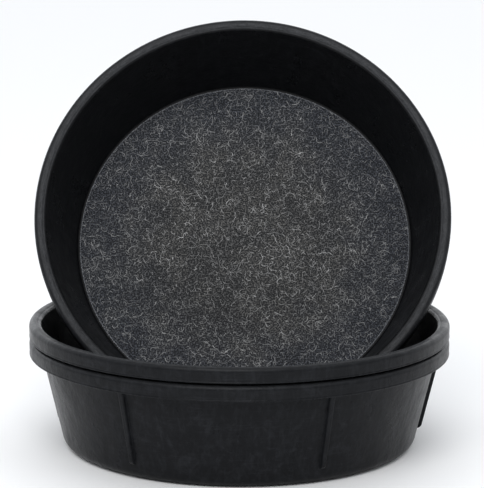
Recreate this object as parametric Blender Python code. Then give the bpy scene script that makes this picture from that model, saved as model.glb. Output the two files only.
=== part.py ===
"""Three moulded rubber feed pans: two nested, the third standing tilted in them.

Units are metres, +Z is up, and the origin is the centre of the bottom pan's
underside. Each pan is one moulding, so each is one object.
"""
from math import atan, cos, pi, radians, sin, tan

import bmesh
import bpy
from mathutils import Euler, Matrix, Vector

# Driving dimensions of one pan, which all three share.
RIM_RADIUS = 0.2066
PAN_HEIGHT = 0.1060
BAND_HEIGHT = 0.0148
WALL_RADIUS_UNDER_BAND = 0.1943
WALL_SLOPE = 0.24  # radius lost for each unit of depth
WALL_THICKNESS = 0.0026  # measured level, across the wall
FLOOR_THICKNESS = 0.006
BASE_CORNER_RADIUS = 0.012
FLOOR_FILLET_RADIUS = 0.002
RIM_ROLL_WIDTH = 0.004  # from the rim's crest to its outer face
RIM_ROLL_DROP = 0.005
RIM_DOME_DROP = 0.004  # from the crest down to the inner wall
RIM_GROOVE_DEPTH = 0.0004
BAND_EDGE_CHAMFER = 0.001

# The ribs down the outside of the wall.
RIB_COUNT = 6
RIB_FIRST_ANGLE = radians(-64.0)
RIB_TOP_WIDTH = 0.0065
RIB_FOOT_WIDTH = 0.0050
RIB_HEIGHT = 0.0038
RIB_ROOT_DEPTH = 0.0015
RIB_FOOT_Z = 0.0155
RIB_FOOT_LENGTH = 0.004
PRESSED_RIB_HEIGHT = 0.0007  # on the pan that sits inside another

# How the pans are put together.
NEST_PITCH = 0.0170
TILT = radians(61.6)
TILTED_RIM_CENTRE = (0.0026, 0.0287, 0.2232)
TILTED_PAN_TURN = radians(-1.4)

SEGMENTS = 80  # flats round a pan
CORNER_STEPS = 5
ROLL_STEPS = 4
DOME_STEPS = 5
GROOVE_STEP = 2

RUBBER_COLOUR = (0.022, 0.023, 0.025, 1.0)
RUBBER_ROUGHNESS = 0.55


def wall_radius(z):
    """Outer radius of the wall at height z over the pan's underside."""
    return WALL_RADIUS_UNDER_BAND - WALL_SLOPE * (PAN_HEIGHT - BAND_HEIGHT - z)


def arc(centre, size, start, end, steps):
    """Points (r, z) along an elliptical arc of half width and half height `size`."""
    angles = [start + (end - start) * i / steps for i in range(steps + 1)]
    return [(centre[0] + size[0] * cos(a), centre[1] + size[1] * sin(a)) for a in angles]


def outer_base_corner():
    """The round corner between the flat underside and the sloping wall."""
    slope_angle = atan(WALL_SLOPE)
    tangent = BASE_CORNER_RADIUS * tan((pi / 2 - slope_angle) / 2)
    centre = (wall_radius(0.0) - tangent, BASE_CORNER_RADIUS)
    size = (BASE_CORNER_RADIUS, BASE_CORNER_RADIUS)
    return arc(centre, size, -pi / 2, -slope_angle, CORNER_STEPS)


def inner_floor_corner():
    """The small fillet between the inner wall and the floor, wall end first."""
    slope_angle = atan(WALL_SLOPE)
    corner_radius = wall_radius(FLOOR_THICKNESS) - WALL_THICKNESS
    tangent = FLOOR_FILLET_RADIUS * tan((pi / 2 - slope_angle) / 2)
    centre = (corner_radius - tangent, FLOOR_THICKNESS + FLOOR_FILLET_RADIUS)
    size = (FLOOR_FILLET_RADIUS, FLOOR_FILLET_RADIUS)
    return arc(centre, size, -slope_angle, -pi / 2, 2)


def rim_top():
    """Outer roll up to the crest, then the dome with its groove, down to the inner wall."""
    crest = RIM_RADIUS - RIM_ROLL_WIDTH
    roll_centre = (crest, PAN_HEIGHT - RIM_ROLL_DROP)
    roll = arc(roll_centre, (RIM_ROLL_WIDTH, RIM_ROLL_DROP), 0.0, pi / 2, ROLL_STEPS)
    dome_foot = PAN_HEIGHT - RIM_DOME_DROP
    dome_width = crest - (wall_radius(dome_foot) - WALL_THICKNESS)
    dome = arc((crest, dome_foot), (dome_width, RIM_DOME_DROP), pi / 2, 0.96 * pi, DOME_STEPS)
    groove_radius, groove_height = dome[GROOVE_STEP]
    dome[GROOVE_STEP] = (groove_radius, groove_height - RIM_GROOVE_DEPTH)
    return roll + dome[1:]


def pan_profile():
    """The pan's section from the underside, round the rim and back to the floor."""
    band_foot = PAN_HEIGHT - BAND_HEIGHT
    band_underside = [
        (WALL_RADIUS_UNDER_BAND, band_foot),
        (RIM_RADIUS - BAND_EDGE_CHAMFER, band_foot),
        (RIM_RADIUS, band_foot + BAND_EDGE_CHAMFER),
    ]
    return outer_base_corner() + band_underside + rim_top() + inner_floor_corner()


def turned_pan(bm):
    """Spins the section round Z and closes the floor and the underside."""
    verts = [bm.verts.new((r, 0.0, z)) for r, z in pan_profile()]
    edges = [bm.edges.new(pair) for pair in zip(verts, verts[1:])]
    bmesh.ops.spin(
        bm, geom=verts + edges, cent=(0, 0, 0), axis=(0, 0, 1),
        angle=2 * pi, steps=SEGMENTS, use_merge=True,
    )
    bmesh.ops.remove_doubles(bm, verts=bm.verts, dist=1e-6)
    rims = [edge for edge in bm.edges if edge.is_boundary]
    bmesh.ops.holes_fill(bm, edges=rims, sides=0)
    bmesh.ops.recalc_face_normals(bm, faces=bm.faces)


def rib_section(bm, z, width, height):
    """One four-cornered section across a rib that stands on the wall at +X."""
    root = wall_radius(z) - RIB_ROOT_DEPTH
    crest = wall_radius(z) + height
    corners = [
        (root, -width / 2), (crest, -width * 0.4),
        (crest, width * 0.4), (root, width / 2),
    ]
    return [bm.verts.new((x, y, z)) for x, y in corners]


def add_rib(bm, angle, height):
    """Lofts one rib from under the band to its sloping foot."""
    sections = [
        rib_section(bm, PAN_HEIGHT - BAND_HEIGHT + 0.001, RIB_TOP_WIDTH, height),
        rib_section(bm, RIB_FOOT_Z + RIB_FOOT_LENGTH, RIB_FOOT_WIDTH, height),
        rib_section(bm, RIB_FOOT_Z, RIB_FOOT_WIDTH * 0.7, height * 0.3),
    ]
    for upper, lower in zip(sections, sections[1:]):
        for i in range(4):
            j = (i + 1) % 4
            bm.faces.new((upper[i], upper[j], lower[j], lower[i]))
    bm.faces.new(sections[0])
    bm.faces.new(sections[-1])
    verts = [vert for section in sections for vert in section]
    bmesh.ops.rotate(bm, verts=verts, cent=(0, 0, 0), matrix=Matrix.Rotation(angle, 3, 'Z'))


def rib_cutter(name, height):
    """All the ribs of one pan as a guide object, to be joined by a Boolean."""
    bm = bmesh.new()
    for i in range(RIB_COUNT):
        add_rib(bm, RIB_FIRST_ANGLE + 2 * pi * i / RIB_COUNT, height)
    bmesh.ops.recalc_face_normals(bm, faces=bm.faces)
    mesh = bpy.data.meshes.new(name)
    bm.to_mesh(mesh)
    bm.free()
    guide = bpy.data.objects.new(name, mesh)
    guide.hide_render = True
    guide.display_type = 'WIRE'
    bpy.context.collection.objects.link(guide)
    return guide


def rubber(name):
    """Black moulded rubber with a dull sheen."""
    material = bpy.data.materials.new(name)
    material.use_nodes = True
    shader = material.node_tree.nodes["Principled BSDF"]
    shader.inputs["Base Color"].default_value = RUBBER_COLOUR
    shader.inputs["Roughness"].default_value = RUBBER_ROUGHNESS
    shader.inputs["Metallic"].default_value = 0.0
    return material


def make_pan(name, placing, rib_height):
    """Models one pan with its ribs and puts it in place."""
    bm = bmesh.new()
    turned_pan(bm)
    mesh = bpy.data.meshes.new(name)
    bm.to_mesh(mesh)
    bm.free()
    mesh.materials.append(rubber(name + "_rubber"))
    mesh.shade_smooth()
    mesh.set_sharp_from_angle(angle=radians(32.0))
    pan = bpy.data.objects.new(name, mesh)
    bpy.context.collection.objects.link(pan)
    ribs = rib_cutter(name + "_ribs", rib_height)
    union = pan.modifiers.new("ribs", 'BOOLEAN')
    union.operation = 'UNION'
    union.solver = 'EXACT'
    union.object = ribs
    for item in (pan, ribs):
        item.matrix_world = placing
    return pan


def tilted_placing():
    """Places a pan by its rim's centre, tipped towards -Y."""
    turn = Euler((TILT, 0.0, TILTED_PAN_TURN), 'XYZ').to_matrix().to_4x4()
    down_to_base = Matrix.Translation(Vector((0, 0, -PAN_HEIGHT)))
    return Matrix.Translation(Vector(TILTED_RIM_CENTRE)) @ turn @ down_to_base


def build():
    for item in list(bpy.data.objects):
        bpy.data.objects.remove(item, do_unlink=True)
    make_pan("bottom_pan", Matrix.Identity(4), RIB_HEIGHT)
    make_pan("middle_pan", Matrix.Translation((0, 0, NEST_PITCH)), PRESSED_RIB_HEIGHT)
    make_pan("top_pan", tilted_placing(), RIB_HEIGHT)


build()
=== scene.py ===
"""The looks of three black moulded rubber feed pans: two nested, one standing tilted in them.

Each pan is one moulding. It is shown by two pieces that ride on the pan's body: the
shell, which has the underside, the wall with its ribs, the band and the rim, and the
rough floor face inside. Units are metres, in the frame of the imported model.
"""

import bpy
import numpy as np
from math import atan, cos, hypot, pi, radians, sin, tan
from mathutils import Euler, Matrix, Vector, noise


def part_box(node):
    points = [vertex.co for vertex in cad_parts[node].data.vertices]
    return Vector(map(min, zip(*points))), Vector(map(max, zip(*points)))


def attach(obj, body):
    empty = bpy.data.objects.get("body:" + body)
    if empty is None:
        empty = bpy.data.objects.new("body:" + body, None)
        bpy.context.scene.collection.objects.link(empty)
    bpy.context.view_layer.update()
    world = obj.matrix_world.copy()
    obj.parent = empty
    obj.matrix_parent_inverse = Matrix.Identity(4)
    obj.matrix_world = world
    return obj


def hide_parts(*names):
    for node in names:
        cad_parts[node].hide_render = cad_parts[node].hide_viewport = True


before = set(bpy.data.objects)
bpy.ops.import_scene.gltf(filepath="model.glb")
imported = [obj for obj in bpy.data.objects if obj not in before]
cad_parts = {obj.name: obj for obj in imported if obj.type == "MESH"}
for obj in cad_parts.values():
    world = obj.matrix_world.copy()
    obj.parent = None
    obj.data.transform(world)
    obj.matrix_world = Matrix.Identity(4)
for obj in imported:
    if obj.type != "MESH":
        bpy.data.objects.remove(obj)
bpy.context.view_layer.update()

# One pan, in its own axes: the origin is the centre of its underside.
RIM_RADIUS = 0.2065  # a hair inside the CAD model's, whose rim has flats
PAN_HEIGHT = 0.1060
BAND_HEIGHT = 0.0148
BAND_FOOT = PAN_HEIGHT - BAND_HEIGHT
WALL_RADIUS_UNDER_BAND = 0.1943
WALL_SLOPE = 0.24
WALL_LEAN = atan(WALL_SLOPE)
WALL_THICKNESS = 0.0026
FLOOR_THICKNESS = 0.006
BASE_CORNER_RADIUS = 0.012
FLOOR_FILLET_RADIUS = 0.002
RIM_ROLL_WIDTH = 0.004  # from the rim's crest to its outer face
RIM_ROLL_DROP = 0.005
RIM_DOME_DROP = 0.004  # from the crest down to the inner wall
RIM_GROOVE_RADIUS = 0.1976
RIM_GROOVE_DEPTH = 0.0004
RIM_GROOVE_WIDTH = 0.0012
BAND_LIP = 0.0002  # the thin lip that the mould leaves along the band's lower edge
BAND_EDGE_RADIUS = 0.0009
BAND_LIP_TOP = 0.0024  # over the band's foot
UNDER_BAND_FILLET = 0.0012
WALL_WAVE = 0.00012  # how far the moulded wall wanders from true
WALL_WAVE_PACE = 14.0

# The ribs down the outside.
RIB_COUNT = 6
RIB_FIRST_ANGLE = radians(-64.0)
RIB_TOP_WIDTH = 0.0065
RIB_FOOT_WIDTH = 0.0050
RIB_HEIGHT = 0.0038
RIB_FOOT_Z = 0.0155
RIB_FOOT_LENGTH = 0.004
PRESSED_RIB_HEIGHT = 0.0007
RIB_STATIONS = (0.0, 0.4, 0.7, 0.82, 0.9, 0.96, 1.02, 1.12, 1.5, 2.6)  # in half widths
STATIONS_BETWEEN_RIBS = 40
OFF_THE_RIBS = 9.0  # in half widths: well past a rib's side

# The underside.
UNDERSIDE_MIDDLE_RADII = (0.004, 0.012, 0.030)
UNDERSIDE_GROOVES = (0.060, 0.148)
UNDERSIDE_GROOVE_DEPTH = 0.0006
UNDERSIDE_GROOVE_WIDTH = 0.0016
UNDERSIDE_PAST_GROOVE = (0.015, 0.030)  # where the flat stretch past a groove has points

# How finely the section is drawn.
BASE_CORNER_STEPS = 9
RIB_FOOT_ROWS = 11
OUTER_WALL_ROWS = 22
INNER_WALL_ROWS = 30
BAND_FILLET_STEPS = 4
UNDER_BAND_STEPS = 5
LIP_STEPS = 6
BAND_FACE_STEPS = 7
ROLL_STEPS = 12
DOME_STEPS = 22
FLOOR_FILLET_STEPS = 5
HIDDEN_FLAT_RADII = (0.10, 0.01)  # points of the flats between the shell and its floor face

# The rough floor face, let into the shell's floor.
FACE_RADIUS = 0.1692
FACE_THICKNESS = 0.0010
FACE_SEAT_GAP = 0.0001
FACE_RIDGE_INSET = 0.0009  # from the face's edge to its ridge
FACE_RIDGE_HEIGHT = 0.00035
FACE_RING_RADIUS = 0.0875
FACE_RING_HEIGHT = 0.00022
FACE_RISE_WIDTH = 0.0010  # from the crest of the ridge or of the ring to its foot
FACE_SMOOTH_WIDTH = 0.008  # how far in from its edge the face starts to smooth out
FACE_EDGE_WIDTH = 0.003  # the smooth strip along its edge
FACE_RELIEF = 0.00010
FACE_RELIEF_PACE = 420.0
FACE_WAVE = 0.00020
FACE_WAVE_PACE = 22.0
PLAIN_FACE_GRID = (70, 240)  # rings and stations
FINE_FACE_GRID = (140, 512)

# Layers of light fibres on the floor: seed, cells in a metre, half length and half width.
# A fibre shows where its cell's chance is over FIBRE_CHANCE, and it is brighter the higher.
FIBRE_CHANCE = 0.54
FIBRE_LAYERS = (
    (0.0, 70.0, 0.0062, 0.00039),
    (1.3, 95.0, 0.0046, 0.00039),
    (2.9, 130.0, 0.0034, 0.00037),
    (4.1, 180.0, 0.0025, 0.00035),
    (5.7, 250.0, 0.0018, 0.00034),
)

# Greys of the rubber, each with how much bluer than neutral it is.
WALL_CLEAN = (0.0076, 1.22)
WALL_WORN = (0.0222, 1.22)
# The crest's greys are a painted highlight, mottled by rings and specks.
CREST_HIGHLIGHT_DARK = (0.026, 1.1)
CREST_HIGHLIGHT_LIGHT = (0.058, 1.1)
MIDDLE_GROUND = (0.014, 1.1)
OUTER_GROUND = (0.013, 1.4)
MIDDLE_SPECK = (0.124, 0.94)
OUTER_SPECK = (0.116, 1.24)
FIBRE = (0.50, 1.0)
EDGE_GROUND = (0.09, 1.15)
EDGE_SPECK = (0.26, 1.1)
EDGE_LINE = (0.0014, 0.0009)  # how far in from its edge the floor face turns light

# How strongly the rubber mirrors.
WALL_SHINE = 0.094
CREST_SHINE = 0.085
FLOOR_SHINE = 0.08

# Where the rim's crest is painted a lighter grey as a painted highlight, fading to painted shade
# on its inner bead and outer roll: how deep under its top, and how far in from its outer face.
CREST_HIGHLIGHT_DEPTH = (0.0042, 0.0016)
CREST_HIGHLIGHT_INNER_SIDE = (0.0112, 0.0078)
CREST_HIGHLIGHT_OUTER_SIDE = (0.0062, 0.0022)
# The share of the painted highlight left on the outer roll, which is painted shade there.
CREST_HIGHLIGHT_ON_ROLL = 0.22

# The inner wall is painted darker, as painted shade inside the pan: where it starts under the
# outer face, and its share of the colour.
INNER_START = (0.0008, 0.0018)
INNER_FOOT_DEPTH = 0.0015  # it fades out this far under the floor's top
INNER_PAINTED_SHADE = 0.5

# How the pans are put together. The nest comes from the frame.
TILT = radians(61.6)
TILTED_RIM_CENTRE = (0.0026, 0.0287, 0.2232)
TILTED_PAN_TURN = radians(-1.4)

# Camera.
CAMERA_PLACE = (0.0023, -2.419, 0.671)
CAMERA_DOWN = radians(11.08)
CAMERA_ROLL = radians(0.167)
CAMERA_LENS = 185.7
CAMERA_SENSOR = 36.0
CAMERA_REACH = 60.0

# Light. The surround's glow rises with how far a direction points back, and up.
SURROUND_COLOUR = (0.95, 0.97, 1.0, 1.0)
BACKDROP_COLOUR = (1.0, 1.0, 1.0, 1.0)
FRONT_GLOW = 0.45
BACK_GLOW = 1.9
TOP_GLOW = 0.4
BACK_SPAN = (0.0, 1.0)
TOP_SPAN = (0.1, 0.9)
KEY_PLACE = (-0.35, -1.9, 2.0)
KEY_TARGET = (0.0, 0.1, 0.2)
KEY_SIZE = (1.6, 1.2)
KEY_POWER = 30.0

# The studio's floor.
STUDIO_FLOOR_RADIUS = 14.0
STUDIO_FLOOR_DROP = 0.0002
STUDIO_FLOOR_COLOUR = (0.95, 0.95, 0.95, 1.0)


# ---------------------------------------------------------------- sections

def wall_radius(z):
    """Outer radius of the wall at height z."""
    return WALL_RADIUS_UNDER_BAND - WALL_SLOPE * (BAND_FOOT - z)


def arc(centre, size, start, end, steps):
    """Points (r, z) along an elliptical arc of half width and half height `size`."""
    angles = np.linspace(start, end, steps + 1)
    return [(centre[0] + size[0] * cos(a), centre[1] + size[1] * sin(a)) for a in angles]


def straight(start, end, steps):
    """Points between two points of a section, neither included."""
    shares = [i / steps for i in range(1, steps)]
    return [(start[0] + (end[0] - start[0]) * s, start[1] + (end[1] - start[1]) * s)
            for s in shares]


def underside():
    """The flat underside from near its centre, with two shallow turned grooves."""
    radii = list(UNDERSIDE_MIDDLE_RADII)
    for groove in UNDERSIDE_GROOVES:
        radii += [groove + UNDERSIDE_GROOVE_WIDTH * k / 4 for k in range(-4, 5)]
        radii += [groove + past for past in UNDERSIDE_PAST_GROOVE]
    points = []
    for r in sorted(radii):
        depth = 0.0
        for groove in UNDERSIDE_GROOVES:
            share = min(abs(r - groove) / UNDERSIDE_GROOVE_WIDTH, 1.0)
            depth += UNDERSIDE_GROOVE_DEPTH * (0.5 + 0.5 * cos(pi * share))
        points.append((r, depth))
    limit = wall_radius(0.0) - BASE_CORNER_RADIUS
    return [p for p in points if p[0] < limit]


def base_corner():
    """The round corner between the underside and the sloping wall."""
    tangent = BASE_CORNER_RADIUS * tan((pi / 2 - WALL_LEAN) / 2)
    centre = (wall_radius(0.0) - tangent, BASE_CORNER_RADIUS)
    size = (BASE_CORNER_RADIUS, BASE_CORNER_RADIUS)
    return arc(centre, size, -pi / 2, -WALL_LEAN, BASE_CORNER_STEPS)


def outer_wall():
    """Wall rows, close together where the ribs' feet run out."""
    foot_top = RIB_FOOT_Z + RIB_FOOT_LENGTH
    foot_rows = np.linspace(RIB_FOOT_Z - 0.0006, foot_top + 0.0006, RIB_FOOT_ROWS)
    upper_rows = np.linspace(foot_top + 0.003, BAND_FOOT - 0.004, OUTER_WALL_ROWS)
    return [(wall_radius(z), z) for z in [*foot_rows, *upper_rows]]


def band():
    """The fillet under the band, its lower lip and its face up to the rim's roll."""
    fillet_centre = (WALL_RADIUS_UNDER_BAND + UNDER_BAND_FILLET, BAND_FOOT - UNDER_BAND_FILLET)
    fillet_size = (UNDER_BAND_FILLET, UNDER_BAND_FILLET)
    fillet = arc(fillet_centre, fillet_size, pi, pi / 2, BAND_FILLET_STEPS)
    lip_centre = (RIM_RADIUS - BAND_EDGE_RADIUS, BAND_FOOT + BAND_EDGE_RADIUS)
    lip_size = (BAND_EDGE_RADIUS, BAND_EDGE_RADIUS)
    lip = arc(lip_centre, lip_size, -pi / 2, 0.35 * pi, LIP_STEPS)
    face_foot = (RIM_RADIUS - BAND_LIP, BAND_FOOT + BAND_LIP_TOP)
    face_top = (RIM_RADIUS, PAN_HEIGHT - RIM_ROLL_DROP)
    under = straight(fillet[-1], lip[0], UNDER_BAND_STEPS)
    face = [face_foot] + straight(face_foot, face_top, BAND_FACE_STEPS)
    return fillet + under + lip + face


def rim():
    """Outer roll up to the crest, then the dome with its groove, down to the inner wall."""
    crest = RIM_RADIUS - RIM_ROLL_WIDTH
    roll_centre = (crest, PAN_HEIGHT - RIM_ROLL_DROP)
    roll = arc(roll_centre, (RIM_ROLL_WIDTH, RIM_ROLL_DROP), 0.0, pi / 2, ROLL_STEPS)
    dome_foot = PAN_HEIGHT - RIM_DOME_DROP
    dome_width = crest - (wall_radius(dome_foot) - WALL_THICKNESS)
    dome_size = (dome_width, RIM_DOME_DROP)
    dome = []
    for r, z in arc((crest, dome_foot), dome_size, pi / 2, 0.96 * pi, DOME_STEPS)[1:]:
        near = max(0.0, 1.0 - abs(r - RIM_GROOVE_RADIUS) / RIM_GROOVE_WIDTH)
        dome.append((r, z - RIM_GROOVE_DEPTH * near * near * (3.0 - 2.0 * near)))
    return roll + dome


def inner_wall():
    """The inner wall down to the fillet and the seat that the floor face lies in."""
    corner = wall_radius(FLOOR_THICKNESS) - WALL_THICKNESS
    tangent = FLOOR_FILLET_RADIUS * tan((pi / 2 - WALL_LEAN) / 2)
    fillet_centre = (corner - tangent, FLOOR_THICKNESS + FLOOR_FILLET_RADIUS)
    size = (FLOOR_FILLET_RADIUS, FLOOR_FILLET_RADIUS)
    fillet = arc(fillet_centre, size, -WALL_LEAN, -pi / 2, FLOOR_FILLET_STEPS)
    heights = np.linspace(PAN_HEIGHT - 0.005, FLOOR_THICKNESS + 0.004, INNER_WALL_ROWS)
    wall = [(wall_radius(z) - WALL_THICKNESS, z) for z in heights]
    seat_z = FLOOR_THICKNESS - FACE_THICKNESS - FACE_SEAT_GAP
    seat_radius = FACE_RADIUS + FACE_SEAT_GAP
    seat = [(seat_radius, FLOOR_THICKNESS), (seat_radius, seat_z)]
    seat += [(r, seat_z) for r in HIDDEN_FLAT_RADII]
    return wall + fillet + seat


def face_section(rings):
    """The floor face: underside, edge and the top from its edge ridge to the middle."""
    under_z = FLOOR_THICKNESS - FACE_THICKNESS
    section = [(r, under_z) for r in reversed(HIDDEN_FLAT_RADII)]
    section.append((FACE_RADIUS, under_z))
    radii = set(np.linspace(0.0015, FACE_RADIUS - FACE_EDGE_WIDTH, rings))
    radii.update(FACE_RADIUS - k * 0.0003 for k in range(9))
    radii.update(FACE_RING_RADIUS + k * 0.0004 for k in range(-3, 4))
    for r in sorted(radii, reverse=True):
        section.append((r, FLOOR_THICKNESS + face_height(r)))
    return section


def face_height(r):
    """Height of the ridge at the floor's edge and of the faint ring, over the floor."""
    ridge = max(0.0, 1.0 - abs(FACE_RADIUS - FACE_RIDGE_INSET - r) / FACE_RISE_WIDTH)
    ring = max(0.0, 1.0 - abs(FACE_RING_RADIUS - r) / FACE_RISE_WIDTH)
    return FACE_RIDGE_HEIGHT * ridge ** 0.5 + FACE_RING_HEIGHT * ring ** 0.7


# ---------------------------------------------------------------- turned meshes

def rib_width(z):
    """Width of a rib at height z: it tapers towards its foot."""
    share = np.clip((z - RIB_FOOT_Z) / (BAND_FOOT - RIB_FOOT_Z), 0.0, 1.0)
    return RIB_FOOT_WIDTH + (RIB_TOP_WIDTH - RIB_FOOT_WIDTH) * share


def ribbed_stations(section):
    """Angles of every section point's stations, and each station's offset from its rib."""
    spread = np.array([-s for s in reversed(RIB_STATIONS[1:])] + list(RIB_STATIONS))
    between = np.linspace(0.0, 1.0, STATIONS_BETWEEN_RIBS + 2)[1:-1]
    pitch = 2 * pi / RIB_COUNT
    angles = []
    for r, z in section:
        half = rib_width(z) / 2 / max(r, wall_radius(0.0))
        edge = spread[-1] * half
        sector = np.concatenate([spread * half, edge + between * (pitch - 2 * edge)])
        angles.append(np.concatenate([
            RIB_FIRST_ANGLE + pitch * i + sector for i in range(RIB_COUNT)]))
    sector_offsets = np.concatenate([spread, np.full(STATIONS_BETWEEN_RIBS, OFF_THE_RIBS)])
    return np.array(angles), np.tile(sector_offsets, RIB_COUNT)


def even_stations(section, count):
    """The same evenly spaced angles for every section point."""
    angles = np.linspace(0.0, 2 * pi, count, endpoint=False)
    return np.tile(angles, (len(section), 1))


def raise_ribs(section, offsets, height):
    """How far each grid point stands out of the wall for the ribs."""
    rise = np.zeros((len(section), len(offsets)))
    across = 1.0 - smooth_share(np.abs(offsets), 0.74, 1.0)
    for row, (r, z) in enumerate(section):
        on_outer_wall = RIB_FOOT_Z < z < BAND_FOOT and r > wall_radius(z) - WALL_THICKNESS / 2
        if on_outer_wall and r < WALL_RADIUS_UNDER_BAND + UNDER_BAND_FILLET * 0.9:
            foot = min((z - RIB_FOOT_Z) / RIB_FOOT_LENGTH, 1.0)
            rise[row] = height * across * (1.0 - (1.0 - foot) ** 2) ** 0.5
    return rise


def smooth_share(value, low, high):
    """A smooth step from 0 at `low` to 1 at `high`."""
    t = np.clip((value - low) / (high - low), 0.0, 1.0)
    return t * t * (3.0 - 2.0 * t)


def turned_points(section, angles, rise):
    """Grid of points: one row for each section point, one column for each station."""
    r = np.array([p[0] for p in section])[:, None] + rise
    z = np.repeat(np.array([p[1] for p in section])[:, None], angles.shape[1], axis=1)
    return np.stack([r * np.cos(angles), r * np.sin(angles), z], axis=2)


def closed_mesh(name, grid, start, end):
    """A closed mesh from a grid that starts and ends on the axis, in the pan's axes."""
    rows, stations = grid.shape[:2]
    ids = np.arange(rows * stations).reshape(rows, stations)
    ahead = np.roll(ids, -1, axis=1)
    quads = np.stack([ids[:-1], ahead[:-1], ahead[1:], ids[1:]], axis=2).reshape(-1, 4)
    first, last = rows * stations, rows * stations + 1
    caps = [(first, b, a) for a, b in zip(ids[0], ahead[0])]
    caps += [(a, b, last) for a, b in zip(ids[-1], ahead[-1])]
    points = np.concatenate([grid.reshape(-1, 3), [start, end]])
    mesh = bpy.data.meshes.new(name)
    mesh.from_pydata(points.tolist(), [], quads.tolist() + caps)
    mesh.shade_smooth()
    return mesh


def wander(point, pace, seed):
    """Smooth noise from -1 to 1 at a point."""
    return noise.noise(Vector(point) * pace + Vector((seed, 0.0, -seed)))


# ---------------------------------------------------------------- pieces of a pan

def pan_shell(name, rib_height, seed):
    """The pan without its floor face: a closed turned mesh with ribs and slightly wavy walls."""
    section = underside() + base_corner() + outer_wall() + band() + rim() + inner_wall()
    angles, offsets = ribbed_stations(section)
    grid = turned_points(section, angles, raise_ribs(section, offsets, rib_height))
    walls = [row for row, (r, z) in enumerate(section)
             if BASE_CORNER_RADIUS < z < BAND_FOOT - 0.002 and r > FACE_RADIUS + 0.004]
    for row in walls:
        for column in range(grid.shape[1]):
            x, y, z = grid[row, column]
            push = 1.0 + WALL_WAVE * wander((x, y, z), WALL_WAVE_PACE, seed) / hypot(x, y)
            grid[row, column, :2] *= push
    start = (0.0, 0.0, 0.0)
    end = (0.0, 0.0, section[-1][1])
    return closed_mesh(name, grid, start, end)


def pan_floor_face(name, rings, stations, seed):
    """The rough floor of the pan: a thin closed disc with a moulded relief on top."""
    section = face_section(rings)
    grid = turned_points(section, even_stations(section, stations), 0.0)
    for row, (r, z) in enumerate(section):
        if z < FLOOR_THICKNESS:
            continue
        inside = 1.0 - smooth_share(
            r, FACE_RADIUS - FACE_SMOOTH_WIDTH, FACE_RADIUS - FACE_EDGE_WIDTH)
        for column in range(stations):
            point = grid[row, column]
            relief = FACE_RELIEF * wander(point, FACE_RELIEF_PACE, seed) * inside
            wave = FACE_WAVE * wander(point, FACE_WAVE_PACE, seed + 5.0) * min(1.0, inside + 0.2)
            grid[row, column, 2] += relief + wave
    start = (0.0, 0.0, section[0][1])
    end = (0.0, 0.0, FLOOR_THICKNESS)
    return closed_mesh(name, grid, start, end)


def place_piece(mesh, placing, seed, material):
    """Puts a piece in the frame and keeps each point's place in the pan for the material."""
    count = len(mesh.vertices)
    places = np.zeros(count * 3, np.float32)
    mesh.vertices.foreach_get("co", places)
    place = mesh.attributes.new("pan_place", 'FLOAT_VECTOR', 'POINT')
    place.data.foreach_set("vector", places)
    grain = mesh.attributes.new("grain_place", 'FLOAT_VECTOR', 'POINT')
    shift = np.tile(np.array([seed, -seed, 0.5 * seed], np.float32), count)
    grain.data.foreach_set("vector", places + shift)
    mesh.transform(placing)
    mesh.materials.append(material)
    piece = bpy.data.objects.new(mesh.name, mesh)
    bpy.context.scene.collection.objects.link(piece)
    return piece


# ---------------------------------------------------------------- materials

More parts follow.
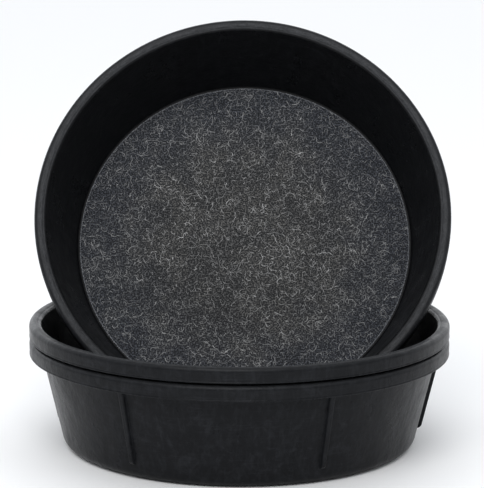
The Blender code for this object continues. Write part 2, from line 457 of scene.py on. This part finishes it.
class Shading:
    """Short ways to add nodes to one material."""

    def __init__(self, name):
        self.material = bpy.data.materials.new(name)
        self.material.use_nodes = True
        self.tree = self.material.node_tree
        self.shader = self.tree.nodes["Principled BSDF"]

    def plug(self, socket, value):
        """Links another node's output to a socket, or sets the socket to a plain value."""
        if isinstance(value, bpy.types.NodeSocket):
            self.tree.links.new(value, socket)
        else:
            socket.default_value = value

    def attribute(self, name):
        node = self.tree.nodes.new("ShaderNodeAttribute")
        node.attribute_name = name
        return node.outputs["Vector"]

    def noise(self, where, pace, detail=2.0, roughness=0.5, twist=0.0):
        node = self.tree.nodes.new("ShaderNodeTexNoise")
        self.plug(node.inputs["Vector"], where)
        self.plug(node.inputs["Scale"], pace)
        self.plug(node.inputs["Detail"], detail)
        self.plug(node.inputs["Roughness"], roughness)
        self.plug(node.inputs["Distortion"], twist)
        return node.outputs["Fac"]

    def maths(self, operation, *values, clamp=False):
        node = self.tree.nodes.new("ShaderNodeMath")
        node.operation = operation
        node.use_clamp = clamp
        for socket, value in zip(node.inputs, values):
            self.plug(socket, value)
        return node.outputs["Value"]

    def blend_of(self, *parts):
        """The sum of some values, each times its weight."""
        total = 0.0
        for value, weight in parts:
            total = self.maths('MULTIPLY_ADD', value, weight, total)
        return total

    def vector_maths(self, operation, first, second):
        node = self.tree.nodes.new("ShaderNodeVectorMath")
        node.operation = operation
        self.plug(node.inputs[0], first)
        self.plug(node.inputs[1], second)
        return node.outputs["Vector"]

    def shift(self, where, by):
        return self.vector_maths('ADD', where, by)

    def stretch(self, where, by):
        return self.vector_maths('MULTIPLY', where, by)

    def split(self, where):
        node = self.tree.nodes.new("ShaderNodeSeparateXYZ")
        self.plug(node.inputs["Vector"], where)
        return node.outputs

    def radius(self, place):
        """Distance from the pan's axis."""
        squares = [self.maths('MULTIPLY', place[axis], place[axis]) for axis in ("X", "Y")]
        return self.maths('SQRT', self.maths('ADD', *squares))

    def round_axis(self, place, radius, pace, across_pace):
        """Coordinates that run slowly round the pan's axis and quickly across its radius."""
        node = self.tree.nodes.new("ShaderNodeCombineXYZ")
        for axis in ("X", "Y"):
            heading = self.maths('DIVIDE', place[axis], radius)
            self.plug(node.inputs[axis], self.maths('MULTIPLY', heading, pace))
        self.plug(node.inputs["Z"], self.maths('MULTIPLY', radius, across_pace))
        return node.outputs["Vector"]

    def cells(self, where, pace):
        """Where each cell of a random pattern has its centre, and its own random colour."""
        node = self.tree.nodes.new("ShaderNodeTexVoronoi")
        node.voronoi_dimensions = '2D'
        self.plug(node.inputs["Vector"], where)
        self.plug(node.inputs["Scale"], pace)
        return node.outputs["Position"], self.split(node.outputs["Color"])

    def turn(self, where, angle):
        """Places turned about Z."""
        node = self.tree.nodes.new("ShaderNodeVectorRotate")
        node.rotation_type = 'Z_AXIS'
        self.plug(node.inputs["Vector"], where)
        self.plug(node.inputs["Angle"], angle)
        return node.outputs["Vector"]

    def ripple(self, where, pace, reach):
        """Places moved about by noise, mostly less than `reach`, so that lines wander."""
        node = self.tree.nodes.new("ShaderNodeTexNoise")
        self.plug(node.inputs["Vector"], where)
        self.plug(node.inputs["Scale"], pace)
        self.plug(node.inputs["Detail"], 1.0)
        centred = self.shift(node.outputs["Color"], (-0.5, -0.5, -0.5))
        return self.shift(where, self.stretch(centred, (4.0 * reach, 4.0 * reach, 0.0)))

    def remap(self, value, low, high, to_low=0.0, to_high=1.0, smooth=True):
        """A clamped step from `to_low` where the value is `low` to `to_high` at `high`."""
        node = self.tree.nodes.new("ShaderNodeMapRange")
        node.interpolation_type = 'SMOOTHSTEP' if smooth else 'LINEAR'
        for key, item in (("Value", value), ("From Min", low), ("From Max", high),
                          ("To Min", to_low), ("To Max", to_high)):
            self.plug(node.inputs[key], item)
        return node.outputs["Result"]

    def mix(self, share, first, second):
        node = self.tree.nodes.new("ShaderNodeMix")
        node.data_type = 'RGBA'
        self.plug(node.inputs["Factor"], share)
        self.plug(node.inputs["A"], first)
        self.plug(node.inputs["B"], second)
        return node.outputs["Result"]

    def dim(self, colour, share):
        """The colour times a share."""
        node = self.tree.nodes.new("ShaderNodeVectorMath")
        node.operation = 'SCALE'
        self.plug(node.inputs[0], colour)
        self.plug(node.inputs["Scale"], share)
        return node.outputs["Vector"]

    def bump(self, height, distance, under=None):
        """Normals for a surface that rises by `distance` where `height` is 1."""
        node = self.tree.nodes.new("ShaderNodeBump")
        self.plug(node.inputs["Height"], height)
        self.plug(node.inputs["Distance"], distance)
        self.plug(node.inputs["Strength"], 1.0)
        if under is not None:
            self.plug(node.inputs["Normal"], under)
        return node.outputs["Normal"]

    def finish(self, colour, roughness, specular, normal):
        self.plug(self.shader.inputs["Base Color"], colour)
        self.plug(self.shader.inputs["Roughness"], roughness)
        self.plug(self.shader.inputs["Specular IOR Level"], specular)
        self.plug(self.shader.inputs["Normal"], normal)
        return self.material


def grey(value, blue):
    """A grey of this value, with its blue raised or lowered and its green part of the way."""
    return (value, value * (1.0 + 0.3 * (blue - 1.0)), value * blue, 1.0)


def crest_highlight_share(s, place, radius):
    """How much painted highlight each point of the shell gets: most on the rim's crest, less on
    its outer roll (painted shade there), none on the walls.
    """
    deep, shallow = CREST_HIGHLIGHT_DEPTH
    far_in, full_in = CREST_HIGHLIGHT_INNER_SIDE
    full_out, far_out = CREST_HIGHLIGHT_OUTER_SIDE
    on_top = s.remap(place["Z"], PAN_HEIGHT - deep, PAN_HEIGHT - shallow)
    inner_side = s.remap(radius, RIM_RADIUS - far_in, RIM_RADIUS - full_in)
    outer_side = s.remap(radius, RIM_RADIUS - full_out, RIM_RADIUS - far_out,
                         1.0, CREST_HIGHLIGHT_ON_ROLL)
    return s.maths('MULTIPLY', on_top, s.maths('MULTIPLY', inner_side, outer_side))


def inner_wall_share(s, place, radius):
    """Where the inner wall's painted shade goes: 1 on the inner wall, 0 on the outer wall and on
    the underside.
    """
    outer_radius = s.maths('MULTIPLY_ADD', place["Z"], WALL_SLOPE, wall_radius(0.0))
    inset = s.remap(s.maths('SUBTRACT', outer_radius, radius), *INNER_START)
    above_floor = s.remap(place["Z"], FLOOR_THICKNESS - INNER_FOOT_DEPTH, FLOOR_THICKNESS)
    return s.maths('MULTIPLY', inset, above_floor)


def shell_rubber():
    """Black rubber with smears, dust and scratches; a lighter grey painted along the rim's crest
    as a painted highlight, and painted shade dimming the inner wall.
    """
    s = Shading("moulded_rubber")
    place = s.split(s.attribute("pan_place"))
    grain = s.attribute("grain_place")
    radius = s.radius(place)
    # A painted highlight along the rim's crest, with painted shade on its inner bead and outer
    # roll.
    painted_highlight_share = crest_highlight_share(s, place, radius)
    smears = s.noise(s.stretch(grain, (1.0, 1.0, 0.5)), 34.0, 5.0, 0.62, 0.4)
    dust = s.remap(s.noise(grain, 90.0, 6.0, 0.72, 0.8), 0.46, 0.74)
    rings = s.remap(s.noise(s.round_axis(place, radius, 22.0, 1100.0), 1.0, 3.0, 0.6), 0.36, 0.66)
    specks = s.remap(s.noise(grain, 480.0, 2.0, 0.6), 0.45, 0.68)
    streaks = s.remap(s.noise(s.stretch(grain, (1.0, 1.0, 0.16)), 260.0, 3.0, 0.6), 0.45, 0.72)
    scratches = s.remap(s.noise(s.stretch(grain, (1.0, 1.0, 26.0)), 30.0, 3.0, 0.6), 0.52, 0.75)
    wear = s.blend_of((dust, 0.50), (scratches, 0.25), (streaks, 0.30))
    wall_colour = s.mix(wear, grey(*WALL_CLEAN), grey(*WALL_WORN))
    # Painted shade: the inner wall's colour is dimmed.
    shade = s.remap(inner_wall_share(s, place, radius), 0.0, 1.0, 1.0, INNER_PAINTED_SHADE)
    wall_colour = s.dim(wall_colour, shade)
    # The colour of the crest's painted highlight, mottled by rings and specks.
    crest_mottle = s.blend_of((rings, 0.6), (specks, 0.4))
    crest_highlight_colour = s.mix(crest_mottle, grey(*CREST_HIGHLIGHT_DARK), grey(*CREST_HIGHLIGHT_LIGHT))
    colour = s.mix(painted_highlight_share, wall_colour, crest_highlight_colour)
    smeared = s.remap(smears, 0.3, 0.7, 0.25, 0.39)
    rough = s.blend_of((smeared, 1.0), (painted_highlight_share, 0.12), (dust, 0.10))
    skin = s.bump(s.noise(grain, 700.0, 3.0, 0.6), 0.00016)
    normal = s.bump(s.noise(grain, 55.0, 4.0, 0.55), 0.0009, under=skin)
    shine = s.remap(painted_highlight_share, 0.0, 1.0, WALL_SHINE, CREST_SHINE)
    return s.finish(colour, rough, shine, normal)


def fibres(s, where, seed, pace, reach, width):
    """Short curved strands: one arc in each cell of a random pattern, each turned its own way."""
    moved = s.shift(where, (seed, -2.0 * seed, 0.0))
    centre, chance = s.cells(moved, pace)
    from_centre = s.vector_maths('SUBTRACT', moved, centre)
    along = s.split(s.turn(from_centre, s.maths('MULTIPLY', chance["X"], 2.0 * pi)))
    bend = s.remap(chance["Y"], 0.0, 1.0, 0.5 * reach, 3.0 * reach, smooth=False)
    from_hub = s.maths('ADD', along["Y"], bend)
    squares = s.maths('ADD', s.maths('MULTIPLY', along["X"], along["X"]),
                      s.maths('MULTIPLY', from_hub, from_hub))
    arm = s.maths('SQRT', squares)
    off_line = s.maths('ABSOLUTE', s.maths('SUBTRACT', arm, bend))
    line = s.remap(off_line, 0.0, width, 1.0, 0.0)
    ends = s.remap(s.maths('ABSOLUTE', along["X"]), 0.8 * reach, reach, 1.0, 0.0)
    near_side = s.remap(along["Y"], -reach, -0.8 * reach)
    strength = s.remap(chance["Z"], FIBRE_CHANCE, 1.0, smooth=False)
    within = s.maths('MULTIPLY', ends, near_side)
    return s.maths('MULTIPLY', line, s.maths('MULTIPLY', within, strength))


def floor_rubber():
    """The floor's rough moulded skin: fine grain under many thin curved light fibres."""
    s = Shading("floor_rubber")
    place = s.split(s.attribute("pan_place"))
    grain = s.attribute("grain_place")
    radius = s.radius(place)
    curly = s.ripple(grain, 160.0, 0.0012)
    strands = 0.0
    for seed, pace, reach, width in FIBRE_LAYERS:
        strands = s.maths('MAXIMUM', strands, fibres(s, curly, seed, pace, reach, width))
    specks = s.remap(s.noise(grain, 660.0, 0.0), 0.30, 0.70, smooth=False)
    specks = s.maths('MULTIPLY', specks, specks)
    clouds = s.noise(grain, 30.0, 5.0, 0.62)
    patches = s.remap(clouds, 0.34, 0.66, 0.78, 1.22)
    outward = s.remap(radius, 0.04, FACE_RADIUS, 1.08, 0.94)
    cool = s.remap(radius, 0.06, FACE_RADIUS, 0.2, 1.0)
    ground = s.mix(cool, grey(*MIDDLE_GROUND), grey(*OUTER_GROUND))
    hue = s.maths('SUBTRACT', cool, s.remap(clouds, 0.42, 0.62, 0.0, 0.5), clamp=True)
    light = s.mix(hue, grey(*MIDDLE_SPECK), grey(*OUTER_SPECK))
    colour = s.mix(specks, ground, light)
    colour = s.mix(strands, colour, grey(*FIBRE))
    colour = s.dim(colour, s.maths('MULTIPLY', patches, outward))
    line_start, line_full = EDGE_LINE
    edge = s.remap(radius, FACE_RADIUS - line_start, FACE_RADIUS - line_full)
    edge_colour = s.mix(specks, grey(*EDGE_GROUND), grey(*EDGE_SPECK))
    colour = s.mix(edge, colour, edge_colour)
    height = s.maths('ADD', s.maths('MULTIPLY', strands, 0.8), specks)
    normal = s.bump(height, 0.00035)
    rough = s.remap(specks, 0.0, 1.0, 0.50, 0.65)
    return s.finish(colour, rough, FLOOR_SHINE, normal)


# ---------------------------------------------------------------- stage, light and camera

def make_stage():
    """A large plain pale floor."""
    bpy.ops.mesh.primitive_circle_add(
        vertices=128, radius=STUDIO_FLOOR_RADIUS, fill_type='NGON')
    floor = bpy.context.object
    floor.name = "studio_floor"
    floor.location.z = -STUDIO_FLOOR_DROP
    s = Shading("studio_floor_paint")
    s.plug(s.shader.inputs["Base Color"], STUDIO_FLOOR_COLOUR)
    s.plug(s.shader.inputs["Roughness"], 0.9)
    s.plug(s.shader.inputs["Specular IOR Level"], 0.0)
    floor.data.materials.append(s.material)


def make_world():
    """White for the camera; for the object a soft surround, brightest behind and overhead."""
    world = bpy.data.worlds.new("studio_world")
    bpy.context.scene.world = world
    world.use_nodes = True
    tree = world.node_tree
    direction = tree.nodes.new("ShaderNodeTexCoord")
    split = tree.nodes.new("ShaderNodeSeparateXYZ")
    tree.links.new(direction.outputs["Generated"], split.inputs["Vector"])
    behind = world_ramp(tree, split.outputs["Y"], BACK_SPAN, (FRONT_GLOW, BACK_GLOW))
    above = world_ramp(tree, split.outputs["Z"], TOP_SPAN, (0.0, TOP_GLOW))
    total = tree.nodes.new("ShaderNodeMath")
    tree.links.new(behind, total.inputs[0])
    tree.links.new(above, total.inputs[1])
    surround = tree.nodes["Background"]
    surround.inputs["Color"].default_value = SURROUND_COLOUR
    tree.links.new(total.outputs["Value"], surround.inputs["Strength"])
    backdrop = tree.nodes.new("ShaderNodeBackground")
    backdrop.inputs["Color"].default_value = BACKDROP_COLOUR
    path = tree.nodes.new("ShaderNodeLightPath")
    pick = tree.nodes.new("ShaderNodeMixShader")
    tree.links.new(path.outputs["Is Camera Ray"], pick.inputs["Fac"])
    tree.links.new(surround.outputs["Background"], pick.inputs[1])
    tree.links.new(backdrop.outputs["Background"], pick.inputs[2])
    tree.links.new(pick.outputs["Shader"], tree.nodes["World Output"].inputs["Surface"])


def world_ramp(tree, value, span, result):
    """A smooth step of the world's direction from one strength to another."""
    node = tree.nodes.new("ShaderNodeMapRange")
    node.interpolation_type = 'SMOOTHSTEP'
    tree.links.new(value, node.inputs["Value"])
    node.inputs["From Min"].default_value, node.inputs["From Max"].default_value = span
    node.inputs["To Min"].default_value, node.inputs["To Max"].default_value = result
    return node.outputs["Result"]


def area_light(name, place, target, size, power):
    """A rectangular lamp at a place, facing a target."""
    light = bpy.data.lights.new(name, 'AREA')
    light.shape = 'RECTANGLE'
    light.size, light.size_y = size
    light.energy = power
    lamp = bpy.data.objects.new(name, light)
    lamp.location = place
    aim = Vector(target) - Vector(place)
    lamp.rotation_euler = aim.to_track_quat('-Z', 'Y').to_euler()
    bpy.context.scene.collection.objects.link(lamp)


def make_lights():
    """A large key light high in front, a little to the left."""
    area_light("key", KEY_PLACE, KEY_TARGET, KEY_SIZE, KEY_POWER)


def make_camera():
    """A long lens that looks down on the pans, with a trace of roll."""
    camera = bpy.data.cameras.new("camera")
    camera.lens = CAMERA_LENS
    camera.sensor_width = CAMERA_SENSOR
    camera.clip_end = CAMERA_REACH
    forward = Vector((0.0, cos(CAMERA_DOWN), -sin(CAMERA_DOWN)))
    level_up = Vector((0.0, sin(CAMERA_DOWN), cos(CAMERA_DOWN)))
    across = Vector((1.0, 0.0, 0.0))
    right = cos(CAMERA_ROLL) * across + sin(CAMERA_ROLL) * level_up
    up = cos(CAMERA_ROLL) * level_up - sin(CAMERA_ROLL) * across
    turn = Matrix((right, up, -forward)).transposed()
    holder = bpy.data.objects.new("camera", camera)
    holder.matrix_world = Matrix.Translation(CAMERA_PLACE) @ turn.to_4x4()
    bpy.context.scene.collection.objects.link(holder)
    bpy.context.scene.camera = holder


# ---------------------------------------------------------------- the pans

def nested_placing(node):
    """A level pan stands at its node's lowest point."""
    return Matrix.Translation((0.0, 0.0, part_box(node)[0].z))


def tilted_placing():
    """The tilted pan is placed by its rim's centre."""
    turn = Euler((TILT, 0.0, TILTED_PAN_TURN), 'XYZ').to_matrix().to_4x4()
    return Matrix.Translation(TILTED_RIM_CENTRE) @ turn @ Matrix.Translation((0, 0, -PAN_HEIGHT))


def make_pan(node, placing, rib_height, face_grid, seed, materials):
    """The shell stands for the CAD node, and the floor face lies in it."""
    shell_look, face_look = materials
    shell_mesh = pan_shell(node + "_shell", rib_height, seed)
    shell = place_piece(shell_mesh, placing, seed, shell_look)
    face_mesh = pan_floor_face(node + "_floor_face", *face_grid, seed)
    face = place_piece(face_mesh, placing, seed, face_look)
    for piece in (shell, face):
        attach(piece, node)
    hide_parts(node)


def make_pans():
    """All three pans, each with its own seed, so that no two have the same marks."""
    materials = (shell_rubber(), floor_rubber())
    bottom, middle = nested_placing("bottom_pan"), nested_placing("middle_pan")
    make_pan("bottom_pan", bottom, RIB_HEIGHT, PLAIN_FACE_GRID, 3.0, materials)
    make_pan("middle_pan", middle, PRESSED_RIB_HEIGHT, PLAIN_FACE_GRID, 11.0, materials)
    make_pan("top_pan", tilted_placing(), RIB_HEIGHT, FINE_FACE_GRID, 0.0, materials)


make_camera()
make_stage()
make_world()
make_lights()
make_pans()
bpy.context.scene.view_settings.view_transform = 'Standard'
